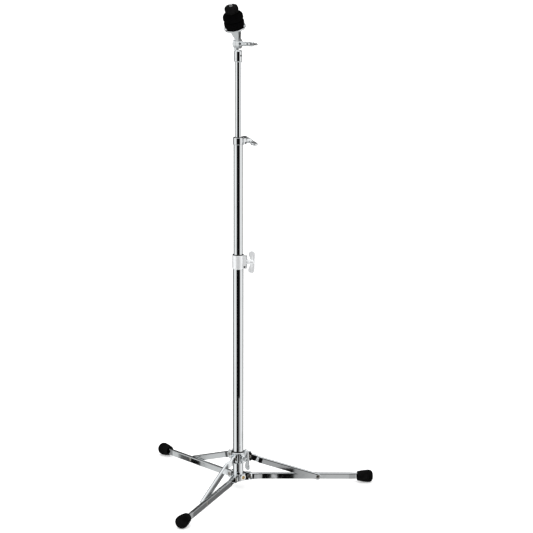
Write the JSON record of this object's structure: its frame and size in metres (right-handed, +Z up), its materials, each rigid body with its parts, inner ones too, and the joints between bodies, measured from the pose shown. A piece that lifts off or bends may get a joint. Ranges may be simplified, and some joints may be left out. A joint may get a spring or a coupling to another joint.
{
  "type": "straight cymbal stand",
  "caption": "Straight cymbal stand with a flat folding tripod base, telescoping tubes with wing bolt clamps and a tilting cymbal rod with felts.",
  "frame": {"origin": "on the floor, on the axis of the tubes", "axes": "+Z up along the tubes, +X along leg 1"},
  "size_m": [0.4455, 0.5112, 1.0233],
  "materials": {
    "tube_chrome": "polished chrome plate on steel tube",
    "fitting_chrome": "polished chrome plate on pressed steel fittings",
    "cast_chrome": "chrome plate on cast wing bolts, slightly softer",
    "channel_chrome": "chrome plate on folded steel channel",
    "rivet_steel": "plated steel rivets, darkened",
    "screw_brass": "yellow passivated screw",
    "black_steel": "blackened steel",
    "rod_steel": "zinc plated threaded rod",
    "black_nylon": "moulded nylon, satin",
    "foot_rubber": "moulded black rubber, matt",
    "black_felt": "pressed wool felt, matt",
    "nut_plastic": "moulded ribbed nut, satin"
  },
  "bodies": {
    "stand_base": {"base_tube": "tube_chrome", "lower_bracket": "fitting_chrome", "bracket_screw": "screw_brass", "leg_pivot_rivets": "rivet_steel", "height_clamp": "fitting_chrome", "clamp_bushing": "black_nylon", "clamp_pin": "black_steel"},
    "clamp_wing": {"clamp_wing_bolt": "cast_chrome"},
    "collar_body": {"collar": "fitting_chrome", "collar_bushing": "black_nylon", "brace_pivot_rivets": "rivet_steel"},
    "collar_wing": {"collar_wing_bolt": "cast_chrome"},
    "middle_glide": {"middle_guide": "black_nylon"},
    "middle_stage": {"middle_tube": "tube_chrome", "upper_clamp": "fitting_chrome", "upper_bushing": "black_nylon"},
    "upper_wing": {"upper_wing_bolt": "cast_chrome"},
    "upper_glide": {"upper_guide": "black_nylon"},
    "upper_stage": {"upper_tube": "tube_chrome", "tilter_base": "fitting_chrome", "tilter_set_screw": "black_steel", "tilter_hinge_nut": "cast_chrome"},
    "tilter_wing": {"tilter_wing_bolt": "cast_chrome"},
    "tilter_head": {"tilter_arm": "fitting_chrome", "cymbal_rod": "rod_steel", "cup_washer": "fitting_chrome", "rod_sleeve": "black_nylon", "lower_felt": "black_felt"},
    "top_felt": {"upper_felt": "black_felt"},
    "top_nut": {"cymbal_nut": "nut_plastic"},
    "leg_1": {"leg_bar_1": "channel_chrome", "leg_lap_rivet_1": "rivet_steel", "foot_1": "foot_rubber"},
    "brace_1": {"brace_bar_1": "channel_chrome", "brace_lap_rivet_1": "rivet_steel"},
    "leg_2": {"leg_bar_2": "channel_chrome", "leg_lap_rivet_2": "rivet_steel", "foot_2": "foot_rubber"},
    "brace_2": {"brace_bar_2": "channel_chrome", "brace_lap_rivet_2": "rivet_steel"},
    "leg_3": {"leg_bar_3": "channel_chrome", "leg_lap_rivet_3": "rivet_steel", "foot_3": "foot_rubber"},
    "brace_3": {"brace_bar_3": "channel_chrome", "brace_lap_rivet_3": "rivet_steel"}
  },
  "joints": [
    {"name": "leg_1_fold", "type": "hinge", "parent": "stand_base", "child": "leg_1", "pos_m": [0.0235, 0, 0.0235], "axis": [0, -1, 0], "range_deg": [0, 85.3]},
    {"name": "leg_2_fold", "type": "hinge", "parent": "stand_base", "child": "leg_2", "pos_m": [-0.01175, 0.02035, 0.0235], "axis": [0.866, 0.5, 0], "range_deg": [-0.1, 85.4]},
    {"name": "leg_3_fold", "type": "hinge", "parent": "stand_base", "child": "leg_3", "pos_m": [-0.01175, -0.02035, 0.0235], "axis": [-0.866, 0.5, 0], "range_deg": [-0.1, 85.4]},
    {"name": "collar_slide", "type": "slide", "parent": "stand_base", "child": "collar_body", "axis": [0, 0, 1], "range_m": [-0.0003, 0.25746]},
    {"name": "brace_1_fold", "type": "hinge", "parent": "collar_body", "child": "brace_1", "pos_m": [0.0235, 0, 0.0675], "axis": [0, 1, 0], "range_deg": [-0.1, 64.85]},
    {"name": "brace_2_fold", "type": "hinge", "parent": "collar_body", "child": "brace_2", "pos_m": [-0.01175, 0.02035, 0.0675], "axis": [-0.866, -0.5, 0], "range_deg": [-0.1, 64.85]},
    {"name": "brace_3_fold", "type": "hinge", "parent": "collar_body", "child": "brace_3", "pos_m": [-0.01175, -0.02035, 0.0675], "axis": [0.866, -0.5, 0], "range_deg": [-0.1, 64.85]},
    {"name": "collar_wing_turn", "type": "hinge", "parent": "collar_body", "child": "collar_wing", "pos_m": [0, 0, 0.0675], "axis": [0.5, -0.866, 0], "continuous": true},
    {"name": "clamp_wing_turn", "type": "hinge", "parent": "stand_base", "child": "clamp_wing", "pos_m": [0, 0, 0.49], "axis": [0.9397, -0.342, 0], "continuous": true},
    {"name": "middle_slide", "type": "slide", "parent": "stand_base", "child": "middle_glide", "axis": [0, 0, 1], "range_m": [-0.2, 0.17]},
    {"name": "middle_swivel", "type": "hinge", "parent": "middle_glide", "child": "middle_stage", "pos_m": [0, 0, 0.27], "axis": [0, 0, 1], "continuous": true},
    {"name": "upper_wing_turn", "type": "hinge", "parent": "middle_stage", "child": "upper_wing", "pos_m": [0, 0, 0.7402], "axis": [0.866, 0.5, 0], "continuous": true},
    {"name": "upper_slide", "type": "slide", "parent": "middle_stage", "child": "upper_glide", "axis": [0, 0, 1], "range_m": [-0.135, 0.18]},
    {"name": "upper_swivel", "type": "hinge", "parent": "upper_glide", "child": "upper_stage", "pos_m": [0, 0, 0.49], "axis": [0, 0, 1], "continuous": true},
    {"name": "tilter_wing_turn", "type": "hinge", "parent": "upper_stage", "child": "tilter_wing", "pos_m": [0, 0, 0.941], "axis": [0.8434, -0.5373, 0], "continuous": true},
    {"name": "tilt", "type": "hinge", "parent": "upper_stage", "child": "tilter_head", "pos_m": [0, 0, 0.941], "axis": [0.8434, -0.5373, 0], "range_deg": [-108.5, 61.5]},
    {"name": "top_felt_slide", "type": "slide", "parent": "tilter_head", "child": "top_felt", "axis": [-0.2142, -0.3363, 0.9171], "range_m": [0, 0.016]},
    {"name": "top_nut_slide", "type": "slide", "parent": "top_felt", "child": "top_nut", "axis": [-0.2142, -0.3363, 0.9171], "range_m": [0, 0.03]}
  ],
  "couplings": [
    {"joint": "leg_2_fold", "follows": "leg_1_fold", "ratio": 1},
    {"joint": "leg_3_fold", "follows": "leg_1_fold", "ratio": 1},
    {"joint": "collar_slide", "follows": "leg_1_fold", "m_per_rad": 0.1726},
    {"joint": "brace_1_fold", "follows": "leg_1_fold", "ratio": 0.75797},
    {"joint": "brace_2_fold", "follows": "leg_1_fold", "ratio": 0.75797},
    {"joint": "brace_3_fold", "follows": "leg_1_fold", "ratio": 0.75797}
  ]
}
